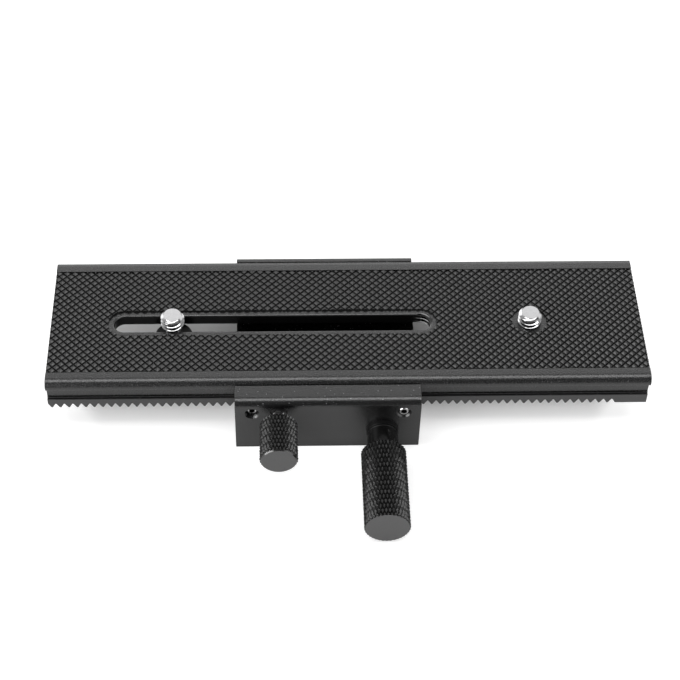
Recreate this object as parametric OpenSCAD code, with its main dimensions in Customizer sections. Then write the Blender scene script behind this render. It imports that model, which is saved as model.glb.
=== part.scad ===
// Macro focusing rail. A grooved rail with a rack under its near edge slides
// through a channelled carriage. The long knurled knob turns a pinion that
// drives the rail, the short knurled knob clamps it through a gib, and two
// captive screws hold a camera on the padded top.
// X runs along the rail, the knobs face -Y and Z is up. The origin is on the
// tripod thread's axis, in the carriage's bottom face.

/* [Rail] */
// Length of the rail
rail_len = 160; // [150:1:190]
// Width of the rail over its top edges
rail_w = 44.4; // [44:0.1:46]
// How far the rail's middle stands to +X of the carriage's at rest
rail_rest = 5.8; // [0:0.1:12]
// Height of the rail's top above the carriage's top
rail_above = 1.05; // [0.8:0.05:1.6]
// Thickness of the overhanging lip above the side groove
lip_t = 2.8; // [2.6:0.1:3.2]
// Radius along the top side edges
edge_r = 1.85; // [0.8:0.05:2.2]
// Radius along the lip's lower edge
lip_under_r = 0.4; // [0.2:0.05:0.6]
// Depth of the side groove
groove_d = 1.6; // [1.4:0.05:1.8]
// Height of the side groove
groove_h = 4; // [3.8:0.05:4.2]
// How far the flange under the groove stands back from the lip
flange_back = 0.8; // [0.6:0.05:1]
// Height of the flange under the groove
flange_h = 0.65; // [0.5:0.05:0.8]
// Thickness of the web between the legs
web_t = 3.9; // [3.5:0.1:4.3]
// Thickness of a leg, across the rail
leg_t = 6; // [5.7:0.1:6.4]
// Width of the smooth strip along each top edge
strip_w = 4; // [3:0.1:5]
// Depth of the recess the pad lies in
recess_d = 0.8; // [0.7:0.05:1]
// Distance of a stop screw from the rail's end
stop_in = 3.5; // [3:0.1:6]
// Head diameter of a stop screw
stop_head_d = 3.4; // [2.8:0.1:3.5]
// Head height of a stop screw
stop_head_t = 1.2; // [0.8:0.1:1.3]
// Thread diameter of a stop screw
stop_d = 2; // [1.6:0.1:2.2]
// Thread length of a stop screw
stop_len = 3.6; // [3:0.1:4.5]

/* [Grip pad] */
// Thickness of the pad
pad_t = 0.65; // [0.5:0.05:0.7]
// Width of the pad's window around the slot
window_w = 8.7; // [8:0.1:10]
// Diameter of the pad's window around the fixed screw
window_d = 9.5; // [8:0.1:11]

/* [Slot and camera screws] */
// Width of the through slot
slot_w = 5.4; // [5.2:0.05:5.6]
// Offset of the slot from the rail's middle line
slot_y = -0.7; // [-1.2:0.1:0.5]
// Middle of the slot's closed end, from the rail's middle
slot_x0 = -60.3; // [-62:0.1:-56]
// Middle of the slot's threaded entry, from the rail's middle
slot_x1 = 19.9; // [10:0.1:24]
// Diameter of the threaded entry
entry_d = 6.6; // [6.45:0.05:7]
// Place of the sliding screw, from the rail's middle
screw_a_x = -47.25; // [-59:0.05:5]
// Place of the fixed screw, from the rail's middle
screw_b_x = 49.55; // [44:0.05:60]
// Thread diameter of a camera screw
cam_d = 6.35; // [6:0.05:6.4]
// Thread pitch of a camera screw
cam_pitch = 1.27; // [1.2:0.01:1.4]
// Depth of a camera screw's thread
cam_thread_h = 0.62; // [0.5:0.02:0.66]
// Height of the chamfer on a camera screw's end
cam_lead = 0.6; // [0.4:0.05:0.8]
// Diameter of the plain neck under the thread
neck_d = 4.9; // [4.4:0.05:4.95]
// Height of a camera screw's end above the rail, at rest
cam_proud = 2.8; // [2.5:0.1:3.4]
// How far a camera screw can be pushed up
cam_lift = 1.8; // [1.5:0.05:2]
// Head diameter of a camera screw
cam_head_d = 10.2; // [9:0.1:11]
// Head height of a camera screw
cam_head_t = 2.9; // [2.6:0.05:3]
// Width of the coin slot
coin_w = 1.4; // [1.2:0.1:1.8]
// Depth of the coin slot
coin_d = 1.2; // [0.8:0.1:1.5]
// Thickness of the washer on a camera screw
cam_washer_t = 0.8; // [0.6:0.05:0.9]
// Diameter of the washer on a camera screw
cam_washer_d = 10.3; // [9.5:0.1:11]

/* [Rack and pinion] */
// Pitch of the rack's teeth
tooth_pitch = 2.25; // [2.2:0.01:2.3]
// Teeth on the pinion
gear_teeth = 8; // [7:1:9]
// Flank angle of the teeth
flank_angle = 30; // [28:0.5:30]
// Play between the meshed teeth
backlash = 0.1; // [0.06:0.01:0.16]
// Height of the rack strip, teeth included
rack_h = 3.25; // [3.1:0.05:3.4]
// Width of the rack strip
rack_w = 5.8; // [5.6:0.1:5.9]
// Length of the end of the strip that has no teeth
rack_plain = 7.9; // [6:0.1:12]
// Share of the addendum that the pinion's teeth have
gear_top = 0.86; // [0.8:0.02:0.9]
// Face width of the pinion
gear_w = 5.2; // [4.6:0.1:5.3]
// How far the pinion stands back from the rack's outer side
gear_in = 0.15; // [0.1:0.05:0.4]
// Head diameter of a rack screw
rack_screw_head_d = 3.6; // [3.2:0.1:3.8]
// How deep the rack screws' heads lie under the teeth's roots
rack_screw_sink = 0.15; // [0.1:0.05:0.3]
// Height of the straight rim of a rack screw's head
rack_screw_rim = 0.2; // [0.1:0.05:0.3]
// Thread diameter of a rack screw
rack_screw_d = 2; // [1.6:0.1:2.2]
// Distance of the outer rack screws from the rail's middle
rack_screw_x = 66; // [56:1:68]

/* [Carriage] */
// Length of the carriage along the rail
car_len = 49; // [46:0.5:56]
// Width of the ledge in front of the rail
front_ledge = 6; // [5.9:0.1:7.5]
// Width of the ledge behind the rail
rear_ledge = 1.65; // [1.3:0.05:4]
// Height of the carriage
car_h = 18.35; // [18.1:0.05:19]
// Radius along the front top edge
car_front_r = 1.6; // [0.8:0.1:2]
// Radius along the rear top edge
car_rear_r = 0.8; // [0.4:0.1:1]
// Radius of the upright corners
car_corner_r = 0.6; // [0.3:0.1:1]
// Room under the camera screws' heads
floor_gap = 0.4; // [0.3:0.05:0.7]
// Room under the rack's teeth
well_gap = 0.5; // [0.3:0.05:0.8]

/* [Gib] */
// Thickness of the gib
gib_t = 3.2; // [3.1:0.05:3.3]
// How much shorter the gib is than the carriage, at each end
gib_end = 0.5; // [0.3:0.1:1]
// Distance of each set screw from the carriage's end
grub_in = 4.5; // [3:0.25:6]
// Height of the set screws' axis
grub_z = 13.9; // [13.7:0.05:14.6]
// Diameter of a set screw
grub_d = 3; // [2.5:0.1:3]
// Length of the left set screw
grub_len = 3.4; // [3:0.1:4]
// Length of the right set screw
grub_len_r = 4.2; // [3:0.1:4.4]
// Width across flats of a set screw's socket
grub_hex = 1.5; // [1.3:0.1:1.6]
// Depth of the socket
grub_hex_d = 1.6; // [1:0.1:2]

/* [Focus knob] */
// Distance of the knob's axis from the carriage's right end
focus_in = 10; // [9:0.1:12]
// Diameter of the knob
focus_d = 12; // [11:0.1:12.4]
// Length of the knurled grip
focus_len = 24; // [18:0.5:32]
// Chamfer at the grip's ends
focus_chamfer = 0.3; // [0.2:0.05:0.6]
// Diameter of the smooth boss behind the grip
boss_d = 8.4; // [7.5:0.1:9]
// Length of the boss
boss_len = 6.5; // [4:0.1:9]
// Diameter of the shaft
shaft_d = 5; // [4.6:0.1:5.4]
// How far the shaft reaches into the knob
shaft_grip = 16; // [12:0.5:20]
// Diameter of the shaft's inner end
journal_d = 3.1; // [2.8:0.1:3.3]
// Length of the shaft's inner end
journal_len = 6; // [4:0.5:9]
// How far the inner bush stands back from the rack's well
bush_back = 0.2; // [0.1:0.1:0.6]
// Diameter of the flange on the front bush
bush_flange_d = 8.5; // [8:0.1:9]
// Thickness of that flange
bush_flange_t = 1; // [0.8:0.1:1.4]
// Wall thickness of the bushes
bush_wall = 0.8; // [0.7:0.05:0.85]

/* [Lock knob] */
// Distance of the knob's axis from the carriage's left end
lock_in = 11.5; // [10:0.25:15]
// Height of the knob's axis
lock_z = 13.9; // [13.7:0.05:14.2]
// Diameter of the knob
lock_d = 9.9; // [9:0.1:11]
// Length of the knob
lock_len = 12; // [9:0.5:16]
// Chamfer at the knob's ends
lock_chamfer = 0.35; // [0.2:0.05:0.6]
// Gap between the knob and the carriage, at rest
lock_gap = 3.7; // [3:0.1:5]
// Diameter of the clamping screw
lock_screw_d = 4; // [3.5:0.1:4]
// How far the screw reaches into the knob
lock_grip = 8; // [6:0.5:9]
// Diameter of the tip that presses on the gib
tip_d = 2.3; // [2:0.1:2.6]
// Length of the tip outside the screw
tip_len = 0.8; // [0.6:0.1:1]
// How much the tip's stem is thinner than the screw, all round
tip_step = 0.4; // [0.3:0.05:0.5]
// Gap between the tip and the gib, at rest
tip_gap = 0.3; // [0.2:0.05:0.4]

/* [Tripod thread] */
// Diameter of the threaded insert
insert_d = 9.5; // [8.5:0.1:10.5]
// Length of the insert
insert_len = 7.5; // [6:0.1:8]
// Bore of the insert
insert_bore = 6.35; // [6:0.05:6.6]
// Width of the driver slot across the insert's end
insert_slot = 1.2; // [1:0.1:1.6]

/* [Fits] */
// Gap beside the rail in the channel's mouth
mouth_gap = 0.25; // [0.2:0.05:0.35]
// Gap of the sliding faces
slide_gap = 0.08; // [0.05:0.01:0.12]
// Gap around the legs inside the channel
leg_gap = 0.35; // [0.3:0.05:0.5]
// Gap of a turning shaft, all round
turn_gap = 0.05; // [0.03:0.01:0.08]
// Gap at the ends of turning pieces
end_gap = 0.1; // [0.08:0.01:0.15]
// Gap of a seated piece
seat_gap = 0.02; // [0.01:0.01:0.04]
// Gap around the gear in its pocket
gear_gap = 0.5; // [0.35:0.05:0.6]

/* [Hidden] */
$fn = 64;
// how far cuts run past what they cut
over = 1;
// points along a pinion tooth's flank
flank_steps = 6;
anodised = [0.15, 0.15, 0.16];
bright_steel = [0.8, 0.8, 0.82];
black_steel = [0.09, 0.09, 0.1];
rubber = [0.08, 0.08, 0.08];
nylon = [0.05, 0.05, 0.05];
brass = [0.75, 0.6, 0.3];
bronze = [0.62, 0.45, 0.26];

// rail section
half_w = rail_w / 2;
top_z = car_h + rail_above;
groove_z1 = top_z - lip_t;
groove_z0 = groove_z1 - groove_h;
flange_y = half_w - flange_back;
groove_y = half_w - groove_d;
leg_in = flange_y - leg_t;
leg_z = groove_z0 - flange_h;
web_z = top_z - web_t;
recess_z = top_z - recess_d;
pad_half = half_w - strip_w;
stop_x = rail_len / 2 - stop_in;
stop_z = (groove_z0 + groove_z1) / 2;

// rack and pinion
focus_x = car_len / 2 - focus_in;
addendum = tooth_pitch / PI;
dedendum = 1.25 * addendum;
gear_r = gear_teeth * tooth_pitch / (2 * PI);
gear_tip_r = gear_r + gear_top * addendum;
gear_root_r = gear_r - dedendum;
gear_base_r = gear_r * cos(flank_angle);
tip_z = leg_z - rack_h;
axis_z = tip_z + addendum - gear_r;
root_z = tip_z + addendum + dedendum;
rack_y0 = -flange_y;
rack_y1 = rack_y0 + rack_w;
gear_y0 = rack_y0 + gear_in;
gear_y1 = gear_y0 + gear_w;
// places of the teeth, so that one stands on the pinion's axis at rest
mesh_x = focus_x - rail_rest;
first_tooth = ceil((-rail_len / 2 - tooth_pitch / 4 - mesh_x) / tooth_pitch);
last_gap = floor((rail_len / 2 - rack_plain - mesh_x) / tooth_pitch - 0.5);
rack_screw_y = (rack_y0 + rack_y1) / 2;
rack_head_z = root_z + rack_screw_sink;

// camera screws
cam_z1 = top_z + cam_proud;
cam_z0 = recess_z + seat_gap;
washer_z1 = web_z - cam_lift;
washer_z0 = washer_z1 - cam_washer_t;
head_z0 = washer_z0 - cam_head_t;

// carriage
floor_z = head_z0 - floor_gap;
rib_y = groove_y + slide_gap;
rib_z1 = groove_z1 - slide_gap;
rib_z0 = groove_z0 + slide_gap;
mouth_y = half_w + mouth_gap;
car_front = mouth_y + front_ledge;
car_rear = mouth_y + rear_ledge;
leg_room_y = flange_y + leg_gap;
well_z = tip_z - well_gap;
well_y1 = -leg_in + leg_gap;
gib_y1 = -rib_y;
gib_y0 = gib_y1 - gib_t;
gib_bed_y = gib_y0 - seat_gap;
grub_x = car_len / 2 - grub_in;
gear_room_r = gear_tip_r + gear_gap;
front_bore_r = shaft_d / 2 + turn_gap + bush_wall;
rear_bore_r = journal_d / 2 + turn_gap + bush_wall;
rear_bush_y = well_y1 + bush_back;

// knobs
lock_x = -car_len / 2 + lock_in;
boss_y = -car_front - bush_flange_t - end_gap;
grip_y = boss_y - boss_len;
focus_y = grip_y - focus_len;
lock_y1 = -car_front - lock_gap;
lock_y0 = lock_y1 - lock_len;
tip_y = gib_y0 - tip_gap;
stud_y = tip_y - tip_len;

// ---- helpers ----

// extrudes a (Y, Z) section along X, from x0
module along_x(x0, length) {
    translate([x0, 0, 0])
        rotate([90, 0, 90])
            linear_extrude(length)
                children();
}

// cylinder along Y between two places, in the XZ position given
module rod_y(x, z, y0, y1, r) {
    translate([x, y1, z])
        rotate([90, 0, 0])
            cylinder(h = y1 - y0, r = r);
}

// what a round of radius r takes off a square corner that points to +,+
module corner_waste(r) {
    difference() {
        square([r + over, r + over]);
        circle(r);
    }
}

// takes the corner at p off a section; sx and sy point out of the corner
module corner_cut(p, sx, sy, r) {
    translate([p[0] - sx * r, p[1] - sy * r])
        mirror([sx < 0 ? 1 : 0, 0])
            mirror([0, sy < 0 ? 1 : 0])
                corner_waste(r);
}

// knob grip along Y with a chamfer at both ends
module grip(x, z, y0, y1, r, c) {
    translate([x, y1, z])
        rotate([90, 0, 0])
            rotate_extrude()
                polygon([[0, 0], [r - c, 0], [r, c], [r, y1 - y0 - c], [r - c, y1 - y0],
                    [0, y1 - y0]]);
}

// round-ended window along X
module window_2d(x0, x1, w) {
    translate([x0, slot_y])
        circle(d = w);
    translate([x1, slot_y])
        circle(d = w);
    translate([x0, slot_y - w / 2])
        square([x1 - x0, w]);
}

// ---- gear shapes ----

function involute(a) = tan(a) - a * PI / 180;

// half the angle of a pinion tooth at radius r
function half_tooth(r) = 180 / PI * ((PI / 2 - 2 * backlash / tooth_pitch) / gear_teeth
    + involute(flank_angle) - involute(acos(min(1, gear_base_r / r))));

function flank_r(step) = gear_base_r + (gear_tip_r - gear_base_r) * step / flank_steps;

function polar(r, a) = [r * cos(a), r * sin(a)];

// one tooth of the pinion, its middle at angle a
function tooth_points(a) = concat(
    [polar(gear_root_r, a - half_tooth(gear_base_r))],
    [for (i = [0:flank_steps]) polar(flank_r(i), a - half_tooth(flank_r(i)))],
    [for (i = [flank_steps:-1:0]) polar(flank_r(i), a + half_tooth(flank_r(i)))],
    [polar(gear_root_r, a + half_tooth(gear_base_r))]);

module pinion_2d() {
    polygon([for (t = [0:gear_teeth - 1]) each
        tooth_points(90 + (t + 0.5) * 360 / gear_teeth)]);
}

// rack teeth in (X, Z), measured from the rail's middle
module rack_2d() {
    top_half = tooth_pitch / 4 + dedendum * tan(flank_angle);
    tip_half = tooth_pitch / 4 - addendum * tan(flank_angle);
    x_end = rail_len / 2;
    teeth = [for (k = [first_tooth:last_gap]) each [
        [mesh_x + k * tooth_pitch - top_half, root_z],
        [mesh_x + k * tooth_pitch - tip_half, tip_z],
        [mesh_x + k * tooth_pitch + tip_half, tip_z],
        [mesh_x + k * tooth_pitch + top_half, root_z]]];
    last_x = mesh_x + (last_gap + 1) * tooth_pitch;
    intersection() {
        translate([-x_end, tip_z])
            square([rail_len, rack_h]);
        polygon(concat([[teeth[0][0] - over, leg_z]], teeth,
            [[last_x - top_half, root_z], [last_x - tip_half, tip_z],
            [x_end + over, tip_z], [x_end + over, leg_z]]));
    }
}

module rack_screw_places() {
    for (x = [-rack_screw_x, -rack_screw_x / 3, rack_screw_x / 3, rack_screw_x])
        translate([rail_rest + x, rack_screw_y, 0])
            children();
}

// countersunk screw, driven up; g widens it for its hole, and bottom and top are its ends
module rack_screw_body(g, bottom, top) {
    head_r = rack_screw_head_d / 2 + g;
    thread_r = rack_screw_d / 2 + g;
    cone_z = rack_head_z + rack_screw_rim;
    translate([0, 0, bottom])
        cylinder(h = cone_z - bottom, r = head_r);
    translate([0, 0, cone_z])
        cylinder(h = head_r - thread_r, r1 = head_r, r2 = thread_r);
    translate([0, 0, cone_z])
        cylinder(h = top - cone_z, r = thread_r);
}

module stop_places() {
    for (s = [-1, 1])
        translate([rail_rest + s * stop_x, 0, stop_z])
            children();
}

// ---- carriage and what is fixed in it ----

module channel_2d() {
    polygon([
        [-mouth_y, car_h + over], [-mouth_y, rib_z1 + 2 * slide_gap],
        [gib_bed_y, rib_z1 + 2 * slide_gap], [gib_bed_y, rib_z0 - seat_gap],
        [-leg_room_y, rib_z0 - seat_gap], [-leg_room_y, well_z],
        [well_y1, well_z], [well_y1, floor_z],
        [leg_room_y, floor_z], [leg_room_y, rib_z0],
        [rib_y, rib_z0], [rib_y, rib_z1],
        [mouth_y, rib_z1], [mouth_y, car_h + over]]);
}

module carriage_2d() {
    difference() {
        translate([-car_front, 0])
            square([car_front + car_rear, car_h]);
        channel_2d();
        corner_cut([-car_front, car_h], -1, 1, car_front_r);
        corner_cut([car_rear, car_h], 1, 1, car_rear_r);
    }
}

module carriage_body() color(anodised) {
    difference() {
        along_x(-car_len / 2, car_len)
            carriage_2d();
        // upright corners
        translate([0, 0, -over])
            linear_extrude(car_h + 2 * over) {
                corner_cut([-car_len / 2, -car_front], -1, -1, car_corner_r);
                corner_cut([car_len / 2, -car_front], 1, -1, car_corner_r);
                corner_cut([-car_len / 2, car_rear], -1, 1, car_corner_r);
                corner_cut([car_len / 2, car_rear], 1, 1, car_corner_r);
            }
        // pinion: front bore, gear pocket and inner bore
        rod_y(focus_x, axis_z, -car_front - over, gear_y0, front_bore_r);
        rod_y(focus_x, axis_z, gear_y0 - end_gap, rear_bush_y, gear_room_r);
        rod_y(focus_x, axis_z, rear_bush_y - over, rear_bush_y + journal_len, rear_bore_r);
        // clamping screw and set screws
        rod_y(lock_x, lock_z, -car_front - over, gib_bed_y + over, lock_screw_d / 2 + turn_gap);
        for (s = [-1, 1])
            rod_y(s * grub_x, grub_z, -car_front - over, gib_bed_y + over, grub_d / 2 + seat_gap);
        // tripod insert
        translate([0, 0, -over])
            cylinder(h = insert_len + over + end_gap, r = insert_d / 2 + seat_gap);
    }
}

module gib_strip() color(brass) {
    translate([-car_len / 2 + gib_end, gib_y0, rib_z0])
        cube([car_len - 2 * gib_end, gib_t, rib_z1 - rib_z0]);
}

module grub_screw(x, length) {
    difference() {
        rod_y(x, grub_z, gib_y0 - length, gib_y0, grub_d / 2);
        translate([x, gib_y0 - length + grub_hex_d, grub_z])
            rotate([90, 0, 0])
                cylinder(h = grub_hex_d + over, d = grub_hex / cos(30), $fn = 6);
    }
}

module gib_grub_screws() color(black_steel) {
    grub_screw(-grub_x, grub_len);
    grub_screw(grub_x, grub_len_r);
}

module tripod_insert() color(bright_steel) {
    difference() {
        cylinder(h = insert_len, d = insert_d);
        translate([0, 0, -over])
            cylinder(h = insert_len + 2 * over, d = insert_bore);
        translate([-insert_d, -insert_slot / 2, insert_len - insert_slot])
            cube([2 * insert_d, insert_slot, insert_slot + over]);
    }
}

module front_bush() color(black_steel) {
    difference() {
        union() {
            rod_y(focus_x, axis_z, -car_front, gear_y0 - 2 * end_gap, front_bore_r - seat_gap);
            rod_y(focus_x, axis_z, -car_front - bush_flange_t, -car_front, bush_flange_d / 2);
        }
        rod_y(focus_x, axis_z, -car_front - over - bush_flange_t, 0, shaft_d / 2 + turn_gap);
    }
}

module rear_bush() color(bronze) {
    difference() {
        rod_y(focus_x, axis_z, rear_bush_y, rear_bush_y + journal_len - end_gap,
            rear_bore_r - seat_gap);
        rod_y(focus_x, axis_z, rear_bush_y - over, rear_bush_y + journal_len + over,
            journal_d / 2 + turn_gap);
    }
}

// ---- clamp ----

module lock_tip() color(brass) {
    rod_y(lock_x, lock_z, stud_y + end_gap, tip_y, lock_screw_d / 2 - tip_step);
    rod_y(lock_x, lock_z, stud_y - tip_len, tip_y, tip_d / 2);
}

module lock_screw() color(black_steel) {
    difference() {
        rod_y(lock_x, lock_z, lock_y1 - lock_grip, stud_y, lock_screw_d / 2);
        rod_y(lock_x, lock_z, stud_y - tip_len - end_gap, stud_y + over, tip_d / 2 + turn_gap);
    }
}

module lock_knob() color(anodised) {
    difference() {
        grip(lock_x, lock_z, lock_y0, lock_y1, lock_d / 2, lock_chamfer);
        rod_y(lock_x, lock_z, lock_y1 - lock_grip - seat_gap, lock_y1 + over,
            lock_screw_d / 2 + seat_gap);
    }
}

// ---- focus drive ----

module focus_knob() color(anodised) {
    difference() {
        union() {
            grip(focus_x, axis_z, focus_y, grip_y, focus_d / 2, focus_chamfer);
            rod_y(focus_x, axis_z, grip_y - over, boss_y, boss_d / 2);
        }
        rod_y(focus_x, axis_z, boss_y - shaft_grip - seat_gap, boss_y + over,
            shaft_d / 2 + seat_gap);
    }
}

module pinion_shaft() color(bright_steel) {
    rod_y(focus_x, axis_z, boss_y - shaft_grip, gear_y0 - end_gap, shaft_d / 2);
    rod_y(focus_x, axis_z, gear_y0 - end_gap, gear_y0, gear_root_r);
    translate([focus_x, gear_y1, axis_z])
        rotate([90, 0, 0])
            linear_extrude(gear_w)
                pinion_2d();
    rod_y(focus_x, axis_z, gear_y1, rear_bush_y + journal_len - 2 * end_gap, journal_d / 2);
}

// ---- rail ----

module rail_2d() {
    difference() {
        polygon([
            [-half_w, top_z], [-half_w, groove_z1], [-groove_y, groove_z1],
            [-groove_y, groove_z0], [-flange_y, groove_z0], [-flange_y, leg_z],
            [-leg_in, leg_z], [-leg_in, web_z], [leg_in, web_z], [leg_in, leg_z],
            [flange_y, leg_z], [flange_y, groove_z0], [groove_y, groove_z0],
            [groove_y, groove_z1], [half_w, groove_z1], [half_w, top_z],
            [pad_half, top_z], [pad_half, recess_z], [-pad_half, recess_z],
            [-pad_half, top_z]]);
        for (s = [-1, 1]) {
            corner_cut([s * half_w, top_z], s, 1, edge_r);
            corner_cut([s * half_w, groove_z1], s, -1, lip_under_r);
        }
    }
}

module rail_plate() color(anodised) {
    difference() {
        along_x(rail_rest - rail_len / 2, rail_len)
            rail_2d();
        translate([rail_rest, 0, web_z - over])
            linear_extrude(web_t + 2 * over) {
                window_2d(slot_x0, slot_x1, slot_w);
                translate([slot_x1, slot_y])
                    circle(d = entry_d);
                translate([screw_b_x, slot_y])
                    circle(d = slot_w);
            }
        rack_screw_places()
            cylinder(h = web_z, r = rack_screw_d / 2 + seat_gap);
        stop_places()
            rod_y(0, 0, groove_y - stop_len - seat_gap, groove_y + over, stop_d / 2 + seat_gap);
    }
}

module grip_pad() color(rubber) {
    translate([rail_rest, 0, recess_z])
        linear_extrude(pad_t)
            difference() {
                translate([-rail_len / 2, -pad_half + seat_gap])
                    square([rail_len, 2 * (pad_half - seat_gap)]);
                window_2d(slot_x0, slot_x1, window_w);
                translate([screw_b_x, slot_y])
                    circle(d = window_d);
            }
}

module rack_strip() color(anodised) {
    difference() {
        translate([rail_rest, rack_y1, 0])
            rotate([90, 0, 0])
                linear_extrude(rack_w)
                    rack_2d();
        rack_screw_places()
            rack_screw_body(seat_gap, tip_z - over, leg_z + over);
    }
}

module rack_screws() color(black_steel) {
    rack_screw_places()
        rack_screw_body(0, rack_head_z, web_z - seat_gap);
}

module stop_screws() color(black_steel) {
    stop_places() {
        rod_y(0, 0, groove_y, groove_y + stop_head_t, stop_head_d / 2);
        rod_y(0, 0, groove_y - stop_len, groove_y, stop_d / 2);
    }
}

// ---- camera screws ----

module cam_washer(x) {
    translate([rail_rest + x, slot_y, washer_z0])
        difference() {
            cylinder(h = cam_washer_t, d = cam_washer_d);
            translate([0, 0, -over])
                cylinder(h = cam_washer_t + 2 * over, r = neck_d / 2 + turn_gap);
        }
}

// threaded end: ridges of the thread's section around the screw
module cam_thread() {
    r = cam_d / 2;
    root = r - cam_thread_h;
    land = cam_pitch / 4;
    top_ridge = cam_z1 - cam_lead - land / 2;
    turns = ceil((top_ridge - cam_z0) / cam_pitch);
    rotate_extrude()
        intersection() {
            polygon([[0, cam_z0], [r, cam_z0], [r, cam_z1 - cam_lead],
                [r - cam_lead, cam_z1], [0, cam_z1]]);
            polygon(concat([[0, cam_z1 + over], [root, cam_z1 + over]],
                [for (i = [0:turns]) each [
                    [root, top_ridge - (i - 0.5) * cam_pitch],
                    [r, top_ridge - i * cam_pitch + land / 2],
                    [r, top_ridge - i * cam_pitch - land / 2],
                    [root, top_ridge - (i + 0.5) * cam_pitch]]],
                [[0, top_ridge - (turns + 0.5) * cam_pitch]]));
        }
}

module cam_screw(x) {
    translate([rail_rest + x, slot_y, 0]) {
        cam_thread();
        translate([0, 0, head_z0 + coin_d])
            cylinder(h = cam_z0 + cam_pitch - head_z0 - coin_d, d = neck_d);
        difference() {
            translate([0, 0, head_z0])
                cylinder(h = cam_head_t - seat_gap, d = cam_head_d);
            translate([-cam_head_d, -coin_w / 2, head_z0 - over])
                cube([2 * cam_head_d, coin_w, coin_d + over]);
        }
    }
}

module washer_a() color(nylon) cam_washer(screw_a_x);

module camera_screw_a() color(bright_steel) cam_screw(screw_a_x);

module washer_b() color(nylon) cam_washer(screw_b_x);

module camera_screw_b() color(bright_steel) cam_screw(screw_b_x);

carriage_body();
gib_strip();
gib_grub_screws();
tripod_insert();
front_bush();
rear_bush();
lock_tip();
lock_screw();
lock_knob();
focus_knob();
pinion_shaft();
rail_plate();
grip_pad();
rack_strip();
rack_screws();
stop_screws();
washer_a();
camera_screw_a();
washer_b();
camera_screw_b();
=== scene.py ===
import math
import bpy
import bmesh
from mathutils import Matrix, Vector


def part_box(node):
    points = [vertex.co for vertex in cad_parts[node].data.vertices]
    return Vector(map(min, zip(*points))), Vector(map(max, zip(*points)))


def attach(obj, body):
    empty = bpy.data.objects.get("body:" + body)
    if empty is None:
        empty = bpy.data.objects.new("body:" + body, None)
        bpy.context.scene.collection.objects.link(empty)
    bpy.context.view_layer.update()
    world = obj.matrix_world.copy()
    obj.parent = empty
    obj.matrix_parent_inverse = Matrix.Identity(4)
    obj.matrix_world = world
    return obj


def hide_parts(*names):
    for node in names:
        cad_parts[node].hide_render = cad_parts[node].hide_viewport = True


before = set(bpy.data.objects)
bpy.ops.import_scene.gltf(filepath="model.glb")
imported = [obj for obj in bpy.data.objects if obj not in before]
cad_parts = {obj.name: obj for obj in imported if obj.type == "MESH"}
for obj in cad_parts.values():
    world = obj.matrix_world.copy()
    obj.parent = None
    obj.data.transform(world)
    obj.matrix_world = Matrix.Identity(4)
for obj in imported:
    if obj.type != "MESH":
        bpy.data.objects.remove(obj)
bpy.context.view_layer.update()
mm = 0.001  # pieces are modelled in millimetres and shrunk to metres when they are done


def cadSpan(node):  # lowest and highest corner of a CAD node, in millimetres
    low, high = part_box(node)
    return low / mm, high / mm


railLow, railHigh = cadSpan("rail_plate")
rackLow, rackHigh = cadSpan("rack_strip")
padLow, padHigh = cadSpan("grip_pad")
carLow, carHigh = cadSpan("carriage_body")
gibLow, gibHigh = cadSpan("gib_strip")
focusLow, focusHigh = cadSpan("focus_knob")
lockLow, lockHigh = cadSpan("lock_knob")
bushLow, bushHigh = cadSpan("front_bush")
grubLow, grubHigh = cadSpan("gib_grub_screws")
insertLow, insertHigh = cadSpan("tripod_insert")
screwLow = cadSpan("camera_screw_a")[0]
railMid = (railLow.x + railHigh.x) / 2
gearAt = ((focusLow.x + focusHigh.x) / 2, (focusLow.z + focusHigh.z) / 2)  # X and Z of the long knob's axis
lockAt = ((lockLow.x + lockHigh.x) / 2, (lockLow.z + lockHigh.z) / 2)  # and of the short knob's axis
print("frame loaded")


# camera
cameraPlace = dict(
    at=(-11.141, -309.589, 363.802),  # millimetres
    elevation=48.73, yaw=2.79, roll=1.64,  # degrees
    lens=90.44, sensor=36.0,
)


def placeCamera():
    down, yaw, roll = (math.radians(cameraPlace[k]) for k in ("elevation", "yaw", "roll"))
    forward = Vector((math.sin(yaw) * math.cos(down), math.cos(yaw) * math.cos(down), -math.sin(down)))
    right = Vector((math.cos(yaw), -math.sin(yaw), 0))
    up = right.cross(forward)
    side = math.cos(roll) * right + math.sin(roll) * up
    top = math.cos(roll) * up - math.sin(roll) * right
    data = bpy.data.cameras.new("camera")
    data.lens = cameraPlace["lens"]
    data.sensor_width = cameraPlace["sensor"]
    data.clip_start = 0.01
    camera = bpy.data.objects.new("camera", data)
    bpy.context.scene.collection.objects.link(camera)
    turn = Matrix((side, top, -forward)).transposed().to_4x4()
    camera.matrix_world = Matrix.Translation(Vector(cameraPlace["at"]) * mm) @ turn
    bpy.context.scene.camera = camera


placeCamera()
print("camera placed")


# shader toolkit
class Value:  # a socket that can be used in sums
    def __init__(self, finish, socket):
        self.finish = finish
        self.socket = socket

    def math(self, operation, *others):
        return self.finish.node("ShaderNodeMath", {"operation": operation}, [self, *others])

    def __add__(self, other):
        return self.math("ADD", other)

    def __mul__(self, other):
        return self.math("MULTIPLY", other)

    def __sub__(self, other):
        return self.math("SUBTRACT", other)

    def __rsub__(self, other):
        return (self * -1) + other

    def __truediv__(self, other):
        return self.math("DIVIDE", other)


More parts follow.
